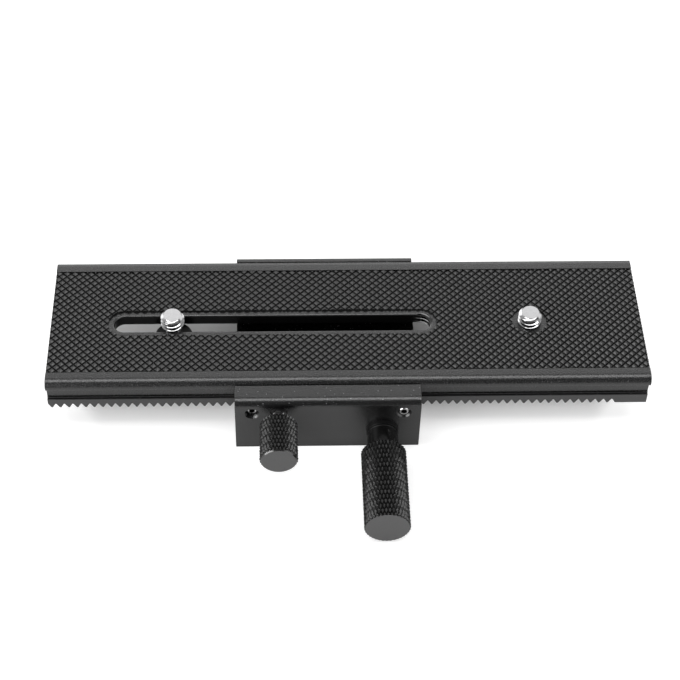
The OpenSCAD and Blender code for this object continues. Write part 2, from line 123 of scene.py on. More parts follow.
class Finish:  # one material, built node by node
    def __init__(self, name, world=None):
        owner = world or bpy.data.materials.new(name)
        owner.use_nodes = True
        self.material = owner
        self.tree = owner.node_tree
        self.tree.nodes.clear()

    def node(self, kind, settings=None, inputs=None, output=0):
        made = self.tree.nodes.new(kind)
        for key, setting in (settings or {}).items():
            setattr(made, key, setting)
        pairs = inputs.items() if isinstance(inputs, dict) else enumerate(inputs or [])
        for key, given in pairs:
            target = made.inputs[key]
            if isinstance(given, Value):
                self.tree.links.new(given.socket, target)
            else:
                target.default_value = given
        return Value(self, made.outputs[output]) if made.outputs else None

    def place(self, scale=(1, 1, 1), shift=(0, 0, 0)):
        coords = self.node("ShaderNodeTexCoord", output="Object")
        return self.node("ShaderNodeMapping", None, {"Vector": coords, "Location": shift, "Scale": scale})

    def noise(self, size, detail, rough, vector=None):  # size of the grains in millimetres
        where = vector or self.place()
        return self.node("ShaderNodeTexNoise", None,
                         {"Vector": where, "Scale": 1 / (size * mm), "Detail": detail, "Roughness": rough})

    def blend(self, factor, first, second):
        return self.node("ShaderNodeMix", {"data_type": "RGBA"}, {0: factor, 6: first, 7: second}, output=2)

    def bump(self, height, depth):  # depth in millimetres
        return self.node("ShaderNodeBump", None, {"Height": height, "Distance": depth * mm})

    def surface(self, **inputs):
        names = {key.replace("_", " "): given for key, given in inputs.items()}
        shader = self.node("ShaderNodeBsdfPrincipled", None, names)
        self.node("ShaderNodeOutputMaterial", None, {"Surface": shader})
        return self.material


def grey(level, tint=(1, 1, 1)):
    return (level * tint[0], level * tint[1], level * tint[2], 1)


# finishes: grains and patches are in millimetres, spread is how far the roughness varies
blastGrain = dict(fine=0.4, coarseShare=0.7, fineShare=0.3, patch=9)


def anodised(name, look):  # bead-blasted, dyed aluminium
    f = Finish(name)
    coarse = f.noise(look["grain"], 2, 0.6)
    fine = f.noise(look["grain"] * blastGrain["fine"], 2, 0.5)
    cloud = f.noise(blastGrain["patch"], 3, 0.6)
    tone = f.blend(cloud, grey(look["dark"], look["tint"]), grey(look["light"], look["tint"]))
    cells = {"Vector": f.place(), "Scale": 1 / (look["speckGap"] * mm)}
    away = f.node("ShaderNodeTexVoronoi", None, cells, output="Distance")
    chance = f.node("ShaderNodeTexVoronoi", None, cells, output="Color")
    speck = away.math("LESS_THAN", look["speckSize"]) * chance.math("GREATER_THAN", 1 - look["speckShare"])
    tone = f.blend(speck, tone, grey(look["speck"], look["tint"]))
    rough = (coarse - 0.5) * look["spread"] + look["rough"]
    relief = coarse * blastGrain["coarseShare"] + fine * blastGrain["fineShare"]
    return f.surface(Base_Color=tone, Roughness=rough, Specular_IOR_Level=look["specular"],
                     Normal=f.bump(relief, look["depth"]))


anodisedLook = dict(
    rail=dict(name="railAnodised", grain=0.34, depth=0.085, dark=0.003, light=0.006,
              tint=(1, 1, 1.03), rough=0.25, spread=0.2, specular=0.9,
              speckGap=1.1, speckSize=0.12, speckShare=0.2, speck=0.08),
    # painted highlight: a shinier, lighter copy of the rail's anodised finish, so that the slot's rounded
    # rim catches a bright line
    rim=dict(name="railRimPaintedHighlight", grain=0.34, depth=0.03, dark=0.006, light=0.012,
             tint=(1, 1, 1.02), rough=0.16, spread=0.1, specular=1.0,
             speckGap=1.1, speckSize=0.1, speckShare=0.1, speck=0.05),
    # painted shade: a darker, duller copy of the rail's anodised finish for the slot's walls
    shadedWall=dict(name="railWallPaintedShade", grain=0.34, depth=0.03, dark=0.002, light=0.004,
              tint=(1, 1, 1.02), rough=0.22, spread=0.1, specular=0.2,
              speckGap=1.1, speckSize=0.1, speckShare=0.1, speck=0.05),
    carriage=dict(name="carriageAnodised", grain=0.3, depth=0.065, dark=0.003, light=0.006,
                  tint=(1, 1, 1.03), rough=0.23, spread=0.2, specular=0.87,
                  speckGap=0.9, speckSize=0.15, speckShare=0.4, speck=0.13),
    rack=dict(name="rackAnodised", grain=0.34, depth=0.06, dark=0.011, light=0.016,
              tint=(1, 1, 1.02), rough=0.36, spread=0.2, specular=0.9,
              speckGap=1.0, speckSize=0.14, speckShare=0.3, speck=0.1),
)

knurlGrain = dict(grain=0.12, patch=3, dark=0.002, light=0.005, rough=0.15, spread=0.1, depth=0.008)


def knurledBlack(name, look):  # anodised knurl
    f, g = Finish(name), knurlGrain
    grain = f.noise(g["grain"], 2, 0.5)
    cloud = f.noise(g["patch"], 2, 0.5)
    tone = f.blend(cloud, grey(g["dark"]), grey(g["light"]))
    return f.surface(Base_Color=tone, Roughness=(cloud - 0.5) * g["spread"] + g["rough"],
                     Specular_IOR_Level=look["specular"], Normal=f.bump(grain, g["depth"]))


knurlLook = dict(
    knurl=dict(name="knurlBlack", specular=0.62),
    knurlTop=dict(name="knurlPoints", specular=0.9),
    # dirt and painted shade: the flat ground between the diamonds is almost black
    knurlGroundDirtAndShade=dict(name="knurlGroundDirtAndShade", specular=0.05),
)


def turnedFace(name, axisAt, look):  # fine rings round an axis along Y
    f = Finish(name)
    where = f.place(shift=(-axisAt[0] * mm, 0, -axisAt[1] * mm), scale=(1, 0, 1))
    distance = f.node("ShaderNodeVectorMath", {"operation": "LENGTH"}, [where], output="Value")
    rings = (distance * (2 * math.pi / (look["ring"] * mm))).math("SINE")
    grain = f.noise(look["grain"], 2, 0.5)
    cloud = f.noise(look["patch"], 2, 0.5)
    tone = f.blend(cloud, grey(look["dark"]), grey(look["light"]))
    height = rings * look["ringShare"] + grain
    return f.surface(Base_Color=tone, Roughness=(cloud - 0.5) * look["spread"] + look["rough"],
                     Specular_IOR_Level=look["specular"], Normal=f.bump(height, look["depth"]))


rubberGrain = dict(skin=0.18, dust=1.6, patch=22, patchShare=0.4, spread=0.2, depth=0.02)


def rubber(name, look):
    f, g = Finish(name), rubberGrain
    skin = f.noise(g["skin"], 3, 0.6)
    dust = f.noise(g["dust"], 4, 0.65)
    wide = f.noise(g["patch"], 2, 0.5)
    tone = f.blend(dust, grey(look["dark"]), grey(look["light"]))
    tone = f.blend(wide * g["patchShare"], tone, grey((look["dark"] + look["light"]) / 2))
    return f.surface(Base_Color=tone, Roughness=(skin - 0.5) * g["spread"] + look["rough"],
                     Specular_IOR_Level=look["specular"], Normal=f.bump(skin, g["depth"]))


rubberLook = dict(
    rubber=dict(name="padRubber", dark=0.004, light=0.018, rough=0.34, specular=0.85),
    # painted shade: a darker, duller copy of the rubber for the pad's grooves
    rubberGrooveShade=dict(name="padGroovePaintedShade", dark=0.003, light=0.008, rough=0.5, specular=0.2),
)

metalGrain = dict(patch=1.2, scratch=0.5, flatten=9, spread=0.12)


def plated(name, look):  # bare or plated metal with fine turning marks round Z
    f, g = Finish(name), metalGrain
    cloud = f.noise(g["patch"], 3, 0.5)
    scratch = f.noise(g["scratch"], 3, 0.6, f.place(scale=(1, 1, g["flatten"])))
    tone = f.blend(cloud, grey(look["dark"], look["tint"]), grey(look["light"], look["tint"]))
    return f.surface(Base_Color=tone, Metallic=1.0, Roughness=(scratch - 0.5) * g["spread"] + look["rough"],
                     Normal=f.bump(scratch, look["depth"]))


platedLook = dict(
    chrome=dict(name="screwChrome", dark=0.62, light=0.72, tint=(1, 1, 1.01), rough=0.1, depth=0.002),
    insert=dict(name="insertPlated", dark=0.45, light=0.6, tint=(1, 0.99, 0.96), rough=0.3, depth=0.004),
    shaft=dict(name="shaftSteel", dark=0.4, light=0.55, tint=(1, 1, 1), rough=0.28, depth=0.004),
    grub=dict(name="grubSteel", dark=0.5, light=0.7, tint=(1, 1, 1), rough=0.2, depth=0.003),
    brass=dict(name="gibBrass", dark=0.5, light=0.62, tint=(1, 0.78, 0.42), rough=0.3, depth=0.004),
    bronze=dict(name="bushBronze", dark=0.35, light=0.45, tint=(1, 0.72, 0.45), rough=0.45, depth=0.01),
)

darkGrain = dict(patch=2, spread=0.1)


def darkCoat(name, look):  # black oxide, nylon, and the smooth or worn places of the black parts
    f = Finish(name)
    grain = f.noise(look["grain"], 3, 0.5)
    cloud = f.noise(darkGrain["patch"], 2, 0.5)
    tone = f.blend(cloud, grey(look["dark"]), grey(look["light"]))
    rough = (cloud - 0.5) * darkGrain["spread"] + look["rough"]
    return f.surface(Base_Color=tone, Metallic=look["metal"], Roughness=rough,
                     Specular_IOR_Level=look["specular"], Normal=f.bump(grain, look["depth"]))


darkLook = dict(
    oxide=dict(name="screwOxide", grain=0.2, dark=0.03, light=0.05, metal=0.6, rough=0.32,
               specular=0.5, depth=0.006),
    nylon=dict(name="washerNylon", grain=0.3, dark=0.012, light=0.02, metal=0, rough=0.5,
               specular=0.5, depth=0.01),
    bush=dict(name="bushBlack", grain=0.3, dark=0.003, light=0.006, metal=0, rough=0.3,
              specular=0.2, depth=0.003),
    boss=dict(name="bossBlack", grain=0.2, dark=0.003, light=0.006, metal=0, rough=0.14,
              specular=0.3, depth=0.003),
    # painted glint: a shinier, lighter copy of the black finish for the focus boss's rear rim and the short
    # knob's front chamfer
    bright=dict(name="paintedGlintBlack", grain=0.2, dark=0.012, light=0.02, metal=0, rough=0.14,
                specular=1.0, depth=0.002),
    # painted glint: the rail's thread gets a bright bare-metal finish so that its ridges glint
    thread=dict(name="railThreadPaintedGlint", grain=0.3, dark=0.13, light=0.18, metal=1, rough=0.2,
                specular=0.5, depth=0.003),
)

finishes = {}
for make, looks in ((anodised, anodisedLook), (knurledBlack, knurlLook), (rubber, rubberLook),
                    (plated, platedLook), (darkCoat, darkLook)):
    for key, look in looks.items():
        finishes[key] = make(look["name"], look)
print("finishes made")


# modelling toolkit
over = 1  # how far a cutter reaches past what it cuts, in millimetres
near = 0.01  # places closer than this count as one when faces and edges are picked out


def finishPiece(name, bm, finish, body, nodes, sharp=35, merge=True):
    if merge:
        bmesh.ops.remove_doubles(bm, verts=bm.verts, dist=1e-5)
    bmesh.ops.recalc_face_normals(bm, faces=bm.faces)
    bmesh.ops.scale(bm, vec=(mm, mm, mm), verts=bm.verts)
    mesh = bpy.data.meshes.new(name)
    bm.to_mesh(mesh)
    bm.free()
    for face in mesh.polygons:
        face.use_smooth = True
    mesh.set_sharp_from_angle(angle=math.radians(sharp))
    for material in finish if isinstance(finish, list) else [finish]:
        mesh.materials.append(material)
    piece = bpy.data.objects.new(name, mesh)
    bpy.context.scene.collection.objects.link(piece)
    even = piece.modifiers.new("evenShading", "WEIGHTED_NORMAL")
    even.keep_sharp = True
    even.weight = 80
    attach(piece, body)
    if nodes:
        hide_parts(*nodes)


def cut(bm, cutters):  # subtracts closed shapes, one after another
    mesh = bpy.data.meshes.new("cutWork")
    bm.to_mesh(mesh)
    bm.free()
    work = bpy.data.objects.new("cutWork", mesh)
    bpy.context.scene.collection.objects.link(work)
    tools = []
    for number, cutter in enumerate(cutters):
        bmesh.ops.recalc_face_normals(cutter, faces=cutter.faces)
        toolMesh = bpy.data.meshes.new("cutTool")
        cutter.to_mesh(toolMesh)
        cutter.free()
        tool = bpy.data.objects.new("cutTool" + str(number), toolMesh)
        bpy.context.scene.collection.objects.link(tool)
        step = work.modifiers.new("cut" + str(number), "BOOLEAN")
        step.operation = "DIFFERENCE"
        step.solver = "EXACT"
        step.object = tool
        tools.append(tool)
    graph = bpy.context.evaluated_depsgraph_get()
    result = bmesh.new()
    result.from_mesh(work.evaluated_get(graph).to_mesh())
    for thing in [work, *tools]:
        data = thing.data
        bpy.data.objects.remove(thing)
        bpy.data.meshes.remove(data)
    bmesh.ops.dissolve_degenerate(result, dist=1e-5, edges=result.edges)
    return result


def soften(bm, parts, size, steps, affect="EDGES"):
    bmesh.ops.bevel(bm, geom=parts, offset=size, offset_type="OFFSET", segments=steps, profile=0.5,
                    affect=affect, material=-1)


def outline(bm, places, rounds):  # flat face; rounds give numbers of corners, a radius and its steps
    corners = [bm.verts.new(place) for place in places]
    bm.faces.new(corners)
    for numbers, radius, steps in rounds:
        soften(bm, [corners[n] for n in numbers], radius, steps, "VERTICES")


def pullOut(bm, way):  # gives a flat face its length
    swept = bmesh.ops.extrude_face_region(bm, geom=list(bm.faces))
    ends = [part for part in swept["geom"] if isinstance(part, bmesh.types.BMVert)]
    bmesh.ops.translate(bm, vec=way, verts=ends)
    bmesh.ops.recalc_face_normals(bm, faces=bm.faces)


def sectionBar(points, rounds, x0, x1, endRound):  # bar of a (Y, Z) section, along X
    bm = bmesh.new()
    outline(bm, [(0, y, z) for y, z in points], rounds)
    bmesh.ops.translate(bm, vec=(x0, 0, 0), verts=bm.verts)
    pullOut(bm, (x1 - x0, 0, 0))
    rims = [edge for edge in bm.edges if abs(edge.verts[0].co.x - edge.verts[1].co.x) < 1e-4]
    soften(bm, rims, endRound, 3)
    return bm


def flatGrid(columns, rows, width, height):  # grid from the origin to (width, height)
    bm = bmesh.new()
    bmesh.ops.create_grid(bm, x_segments=columns, y_segments=rows, size=0.5)
    bmesh.ops.translate(bm, vec=(0.5, 0.5, 0), verts=bm.verts)
    bmesh.ops.scale(bm, vec=(width, height, 1), verts=bm.verts)
    return bm


def lathe(points, at=(0, 0, 0), axis="Z", steps=64):  # closed turned shape from (radius, height) points
    rows = len(points) - 1
    bm = flatGrid(steps, rows, steps, rows)
    for v in bm.verts:
        radius, height = points[round(v.co.y)]
        angle = 2 * math.pi * round(v.co.x) / steps
        v.co = Vector((radius * math.cos(angle), radius * math.sin(angle), height))
    bmesh.ops.remove_doubles(bm, verts=bm.verts, dist=1e-5)
    return standOn(bm, at, axis)


def standOn(bm, at, axis):  # puts the foot of a shape made along Z at a place, turned along Y if asked
    angle = -math.pi / 2 if axis == "Y" else 0
    bmesh.ops.rotate(bm, cent=(0, 0, 0), matrix=Matrix.Rotation(angle, 3, "X"), verts=bm.verts)
    bmesh.ops.translate(bm, vec=at, verts=bm.verts)
    bmesh.ops.recalc_face_normals(bm, faces=bm.faces)
    return bm


def roundSlot(points, x0, x1, y, steps=96):  # turned shape pulled out along X
    bm = lathe(points, steps=steps)
    bmesh.ops.rotate(bm, cent=(0, 0, 0), matrix=Matrix.Rotation(math.pi / steps, 3, "Z"), verts=bm.verts)
    bmesh.ops.translate(bm, vec=(x1 - x0, 0, 0), verts=[v for v in bm.verts if v.co.x > 1e-6])
    bmesh.ops.translate(bm, vec=(x0, y, 0), verts=bm.verts)
    return bm


def mouth(radius, low, top, soft, steps=5):  # (radius, height) points of a hole whose upper rim is rounded
    curve = [math.pi / 2 * k / steps for k in range(steps + 1)]
    rim = [(radius + soft - soft * math.cos(a), top - soft + soft * math.sin(a)) for a in curve]
    return [(0, low), (radius, low), *rim, (radius + soft, top + over), (0, top + over)]


def softRim(radius, low, high, soft):  # (radius, height) points of a rim with both its edges taken off
    return [(radius - soft, low), (radius, low + soft), (radius, high - soft), (radius - soft, high)]


def prism(sides, radius, height, at, axis="Z"):
    bm = bmesh.new()
    bmesh.ops.create_cone(bm, cap_ends=True, segments=sides, radius1=radius, radius2=radius, depth=height)
    bmesh.ops.translate(bm, vec=(0, 0, height / 2), verts=bm.verts)
    return standOn(bm, at, axis)


def block(low, high):
    bm = bmesh.new()
    bmesh.ops.create_cube(bm, size=1)
    size = Vector(high) - Vector(low)
    bmesh.ops.scale(bm, vec=size, verts=bm.verts)
    bmesh.ops.translate(bm, vec=(Vector(high) + Vector(low)) / 2, verts=bm.verts)
    return bm


def join(first, second):  # adds the faces of one shape to another
    carried = bpy.data.meshes.new("joined")
    second.to_mesh(carried)
    second.free()
    first.from_mesh(carried)
    bpy.data.meshes.remove(carried)
    return first


def wrap(bm, radiusAt, columns, climb=0.0):  # rolls a flat grid (X round, Y along) round the Z axis
    for v in bm.verts:
        turn = v.co.x / columns
        radius, angle = radiusAt(v.co.y), 2 * math.pi * turn
        v.co = Vector((radius * math.cos(angle), radius * math.sin(angle), v.co.y + climb * turn))
    bmesh.ops.remove_doubles(bm, verts=bm.verts, dist=1e-4)


def openEdges(bm):
    return [edge for edge in bm.edges if edge.is_boundary]


def closeEnds(bm):
    bmesh.ops.holes_fill(bm, edges=openEdges(bm), sides=0)


def slicePlane(bm, at, out, clear=True):  # cuts along a plane, and can clear what lies on its outer side
    bmesh.ops.bisect_plane(bm, geom=[*bm.verts, *bm.edges, *bm.faces], plane_co=at, plane_no=out,
                           clear_outer=clear)


def trimEnds(bm, length):  # cuts a shape square at z 0 and at its length, and caps both ends
    slicePlane(bm, (0, 0, 0), (0, 0, -1))
    slicePlane(bm, (0, 0, length), (0, 0, 1))
    closeEnds(bm)
    bmesh.ops.recalc_face_normals(bm, faces=bm.faces)


def chamferRing(radius, chamfer, end, way):  # takes the corner off a rod's end; way is 1 for its foot
    ring = [(radius - chamfer, end - way), (radius - chamfer, end),
            (radius + over, end + way * (chamfer + over)), (radius + over, end - way),
            (radius - chamfer, end - way)]
    return lathe(ring, steps=96)


def threadedRod(radius, depth, pitch, height, lead=0.0, at=(0, 0, 0), steps=48, start=0):
    perTurn = 16  # rows of the grid in one turn: 2 on the crest, 4 on each flank, 6 in the root
    spare = 3  # turns that are cut off again, half of them at each end
    turns = math.ceil(height / pitch) + spare

    def radiusAt(along):
        flank = (5 - perTurn * abs(along / pitch % 1.0 - 0.5)) / 4
        return radius - depth + depth * min(1.0, max(0.0, flank))

    bm = flatGrid(steps, turns * perTurn, steps, turns * pitch)
    wrap(bm, radiusAt, steps, climb=pitch)
    bmesh.ops.translate(bm, vec=(0, 0, -spare / 2 * pitch), verts=bm.verts)
    trimEnds(bm, height)
    if lead:
        bm = cut(bm, [chamferRing(radius, lead, height, -1)])
    bmesh.ops.rotate(bm, cent=(0, 0, 0), matrix=Matrix.Rotation(math.radians(start), 3, "Z"), verts=bm.verts)
    return standOn(bm, at, "Z")


def insetEach(bm, faces, thickness, depth):
    return bmesh.ops.inset_individual(bm, faces=faces, thickness=thickness, depth=depth,
                                      use_even_offset=True)["faces"]


def diamonds(bm, gap, slope, rise):  # turns a square grid into raised diamonds with flat ground between them
    squareEdges = [edge for edge in bm.edges if not edge.is_boundary]
    bmesh.ops.poke(bm, faces=bm.faces, offset=0)
    bmesh.ops.dissolve_edges(bm, edges=squareEdges, use_verts=False)
    tops = list(bm.faces)
    ground = insetEach(bm, tops, gap, 0)
    insetEach(bm, tops, slope, rise)
    # the ground gets its own near-black finish, for dirt and painted shade in the grooves
    for faces, look in ((tops, 3), (ground, 4)):
        for face in faces:
            face.material_index = look


# rail
railSizes = dict(
    lip=2.8, grooveDepth=1.55, grooveHeight=4.08, flangeBack=1.2, leg=5.6, web=3.9, lipProud=0.12,
    seamHigh=0.28, seamDeep=0.45,
    edgeRound=2.15, underRound=0.4, flangeRound=0.12, strip=4.0, innerRound=0.16, endRound=0.1,
    slotWidth=5.4, slotAt=-0.7, slotFrom=-60.3, slotTo=19.9, slotRound=0.5, fixedAt=49.55,
    entryRadius=3.3, entryDepth=0.7, entryRound=0.45, pitch=1.27, recess=4.7,
    entryInset=0.3, entryFoot=0.5,  # the entry's rounded rim starts this far inside its thread, and this low
    endRoom=1, flat=0.98, sloped=0.4,  # pick out the slot's faces by distance from the ends and by lean
)


def buildRail():
    s = railSizes
    half, top, bottom = railHigh.y, railHigh.z, railLow.z
    lipZ = top - s["lip"]
    grooveZ = lipZ - s["grooveHeight"]
    groove = half - s["grooveDepth"]
    flange = half - s["flangeBack"]
    legIn = flange - s["leg"]
    webZ = top - s["web"]
    padSide = half - s["strip"]
    lipY = half + s["lipProud"]
    seamY, seamZ = flange - s["seamDeep"], bottom + s["seamHigh"]
    right = [(padSide, padLow.z), (padSide, top), (lipY, top), (lipY, lipZ), (groove, lipZ),
             (groove, grooveZ), (flange, grooveZ), (flange, seamZ), (seamY, seamZ), (seamY, bottom),
             (legIn, bottom), (legIn, webZ)]
    points = right + [(-y, z) for y, z in reversed(right)]
    last = len(points) - 1
    rounds = [((2, last - 2), s["edgeRound"], 18), ((3, last - 3), s["underRound"], 5),
              ((1, last - 1), s["innerRound"], 3), ((6, 7, last - 6, last - 7), s["flangeRound"], 3)]
    bm = sectionBar(points, rounds, railLow.x, railHigh.x, s["endRound"])
    low, floorZ, slotY = webZ - over, padLow.z, s["slotAt"]
    entryX, fixedX = railMid + s["slotTo"], railMid + s["fixedAt"]
    entry = threadedRod(s["entryRadius"], s["entryDepth"], s["pitch"], floorZ + over - low,
                        at=(entryX, slotY, low))
    rim = mouth(s["entryRadius"] - s["entryInset"], floorZ - s["entryFoot"], floorZ, s["entryRound"])
    slot = mouth(s["slotWidth"] / 2, low, floorZ, s["slotRound"])
    cutters = [roundSlot(slot, railMid + s["slotFrom"], entryX, slotY), entry,
               lathe(rim, (entryX, slotY, 0)), lathe(slot, (fixedX, slotY, 0))]
    bm = cut(bm, cutters)
    left, end = railLow.x + s["endRoom"], railHigh.x - s["endRoom"]
    for face in bm.faces:  # painted shade and highlights: the slot's walls get a darker, duller copy of the anodised finish, its rounded rim a shinier, lighter copy and its thread a bright metal finish that glints
        middle, lean = face.calc_center_median(), abs(face.normal.z)
        inside = abs(middle.y - slotY) < s["recess"] and left < middle.x < end
        if not inside or middle.z > floorZ - 1e-3 or lean > s["flat"]:
            continue
        if entryX < middle.x < entryX + s["recess"] and middle.z < floorZ - s["entryRound"]:
            face.material_index = 3
        else:
            face.material_index = 2 if lean > s["sloped"] else 1
    looks = [finishes[look] for look in ("rail", "shadedWall", "rim", "thread")]
    finishPiece("railPlate", bm, looks, "rail", ["rail_plate"])


buildRail()
print("rail built")


# rack
rackSizes = dict(pitch=2.25, addendum=2.25 / math.pi, toothHigh=2.25, flank=30, plain=7.9, tipRound=0.14,
                 rootRound=0.34, screwX=66, headRadius=1.82, threadRadius=1.02, rim=0.35, topBevel=0.12)
screwPlaces = [railMid + share * rackSizes["screwX"] for share in (-1, -1 / 3, 1 / 3, 1)]


def buildRack():
    s = rackSizes
    pitch, addendum = s["pitch"], s["addendum"]
    slope = math.tan(math.radians(s["flank"]))
    gearX, tipZ, topZ = gearAt[0], rackLow.z, rackHigh.z
    tipHalf = pitch / 4 - addendum * slope
    rootZ = tipZ + (pitch / 2 - tipHalf) / slope  # where two flanks meet, before the root is rounded
    first = math.ceil((rackLow.x - gearX) / pitch)
    last = math.floor((rackHigh.x - s["plain"] - gearX) / pitch - 0.5)
    baseZ = tipZ + s["toothHigh"] * addendum
    points, tips, roots = [(rackLow.x, topZ), (rackLow.x, baseZ)], [], []
    for k in range(first, last + 2):
        x = gearX + k * pitch
        if k > first:
            roots.append(len(points))
            points.append((x - pitch / 2, rootZ))
        tips.append(len(points))
        points.append((x - tipHalf, tipZ))
        if k <= last:
            tips.append(len(points))
            points.append((x + tipHalf, tipZ))
    points += [(rackHigh.x, tipZ), (rackHigh.x, topZ)]
    bm = bmesh.new()
    outline(bm, [(x, rackLow.y, z) for x, z in points],
            ((tips, s["tipRound"], 3), (roots, s["rootRound"], 6)))
    pullOut(bm, (0, rackHigh.y - rackLow.y, 0))
    upper = [edge for edge in bm.edges if min(v.co.z for v in edge.verts) > topZ - near
             and max(v.co.y for v in edge.verts) < rackLow.y + near]
    soften(bm, upper, s["topBevel"], 1)
    sink, head, thread = baseZ + s["rim"], s["headRadius"], s["threadRadius"]
    hole = [(0, tipZ - over), (head, tipZ - over), (head, sink), (thread, sink + head - thread),
            (thread, topZ + over), (0, topZ + over)]
    middle = (rackLow.y + rackHigh.y) / 2
    bm = cut(bm, [lathe(hole, at=(x, middle, 0), steps=40) for x in screwPlaces])
    finishPiece("rackStrip", bm, finishes["rack"], "rail", ["rack_strip"], sharp=40)


buildRack()
print("rack built")


# grip pad
padSizes = dict(
    grooveGap=(1.564, 1.609), grooveTurn=(43.11, 134.19), grooveShift=(0.042, 0.323),  # two families
    slope=0.22, rise=0.3, cap=0.4, capRise=0.23, sideGap=0.28, rearGap=0.02, window=8.7, fixedWindow=9.5,
    spare=2,  # the grid is made this much wider than the pad on every side
)


def buildPad():
    s = padSizes
    lines = []
    for gap, turn in zip(s["grooveGap"], s["grooveTurn"]):
        lines.append((math.cos(math.radians(turn)) / gap, math.sin(math.radians(turn)) / gap))
    toPad = Matrix(lines).inverted()  # from counted grooves to millimetres
    reach = math.ceil((padHigh - padLow).length / min(s["grooveGap"]) / 2) + s["spare"]
    bm = flatGrid(2 * reach, 2 * reach, 2 * reach, 2 * reach)
    middle = Vector(((padLow.x + padHigh.x) / 2, (padLow.y + padHigh.y) / 2))
    count = Matrix(lines) @ middle
    for v in bm.verts:
        steps = Vector([v.co[k] - reach + round(count[k]) + s["grooveShift"][k] for k in (0, 1)])
        v.co.x, v.co.y = toPad @ steps
    low = Vector((padLow.x, padLow.y + s["sideGap"], 0))
    high = Vector((padHigh.x, padHigh.y - s["rearGap"], 0))
    room = (high - low) / 2 + Vector((s["spare"], s["spare"], 0))
    far = [face for face in bm.faces
           if any(abs(face.calc_center_median()[k] - middle[k]) > room[k] for k in (0, 1))]
    bmesh.ops.delete(bm, geom=far, context="FACES")
    tops = list(bm.faces)
    bmesh.ops.translate(bm, vec=(0, 0, padHigh.z - s["rise"] - s["capRise"]), verts=bm.verts)
    bmesh.ops.recalc_face_normals(bm, faces=bm.faces)
    if sum(face.normal.z for face in bm.faces) < 0:
        bmesh.ops.reverse_faces(bm, faces=bm.faces)
    insetEach(bm, tops, s["slope"], s["rise"])
    insetEach(bm, tops, s["cap"], s["capRise"])
    for corner, out in ((low, (-1, 0, 0)), (low, (0, -1, 0)), (high, (1, 0, 0)), (high, (0, 1, 0))):
        slicePlane(bm, corner, out)
    skirt = bmesh.ops.extrude_edge_only(bm, edges=openEdges(bm))
    for v in skirt["geom"]:
        if isinstance(v, bmesh.types.BMVert):
            v.co.z = padLow.z + near
    closeEnds(bm)
    bmesh.ops.recalc_face_normals(bm, faces=bm.faces)
    r, below, above, half = railSizes, padLow.z - over, padHigh.z + over, s["window"] / 2
    window = [(0, below), (half, below), (half, above), (0, above)]
    cutters = [roundSlot(window, railMid + r["slotFrom"], railMid + r["slotTo"], r["slotAt"], 72),
               prism(60, s["fixedWindow"] / 2, 4 * over, (railMid + r["fixedAt"], r["slotAt"], below))]
    bm = cut(bm, cutters)
    # painted shade: faces below the diamond caps get the darker groove rubber
    for face in bm.faces:
        if face.calc_center_median().z < padHigh.z - s["capRise"] - 2 * near:
            face.material_index = 1
    looks = [finishes["rubber"], finishes["rubberGrooveShade"]]
    finishPiece("gripPad", bm, looks, "rail", ["grip_pad"], sharp=20)


buildPad()
print("pad built")


# carriage
carriageSizes = dict(
    mouthGap=0.25, slideGap=0.08, legGap=0.35, seat=0.02, frontRound=2.15, rearRound=0.8,
    floorUnderHead=0.4, wellUnderTip=0.5, mouthRound=0.15, endRound=0.14, grubHole=1.52, grubSink=0.42,
    lockHole=2.05, lockSink=0.3, insertRadius=4.77, insertDepth=7.6, insertSink=0.4,
    boreInset=0.85, boreDepth=8,  # the bore behind the front bush's flange
)
grubRadius = (grubHigh.z - grubLow.z) / 2
grubX = grubHigh.x - grubRadius
grubZ = (grubLow.z + grubHigh.z) / 2


def borePoints(radius, sink, depth):  # a blind bore with a countersunk mouth, sunk from z 0 up
    return [(0, -over), (radius + sink + over, -over), (radius, sink), (radius, depth), (0, depth)]


